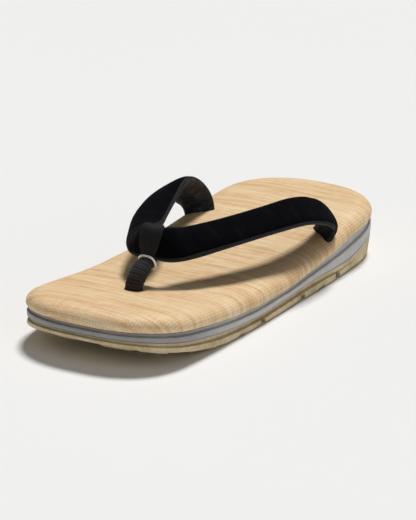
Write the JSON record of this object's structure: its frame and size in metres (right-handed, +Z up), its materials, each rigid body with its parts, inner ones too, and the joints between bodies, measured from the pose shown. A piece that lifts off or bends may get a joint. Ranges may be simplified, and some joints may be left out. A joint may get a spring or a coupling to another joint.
{
  "type": "setta sandal",
  "caption": "Flat sandal with a rounded woven footbed, a layered side, a treaded rubber outsole and padded thong straps that curl down into the footbed.",
  "frame": {"origin": "on the floor, at mid-length and mid-width of the sole", "axes": "toe towards -Y, heel towards +Y, +Z up"},
  "size_m": [0.1046, 0.265, 0.0577],
  "materials": {
    "woven_rush": "fine woven rush, matte",
    "midsole_foam": "soft foam, satin",
    "outsole_rubber": "gum rubber, satin",
    "strap_velvet": "short velvet pile outside, smooth lining inside",
    "thong_cloth": "ribbed cloth",
    "ring_metal": "polished wire"
  },
  "bodies": {
    "root": {"footbed": "woven_rush", "midsole": "midsole_foam", "outsole": "outsole_rubber", "straps": "strap_velvet", "front_thong": "thong_cloth", "neck_ring": "ring_metal"}
  },
  "joints": []
}
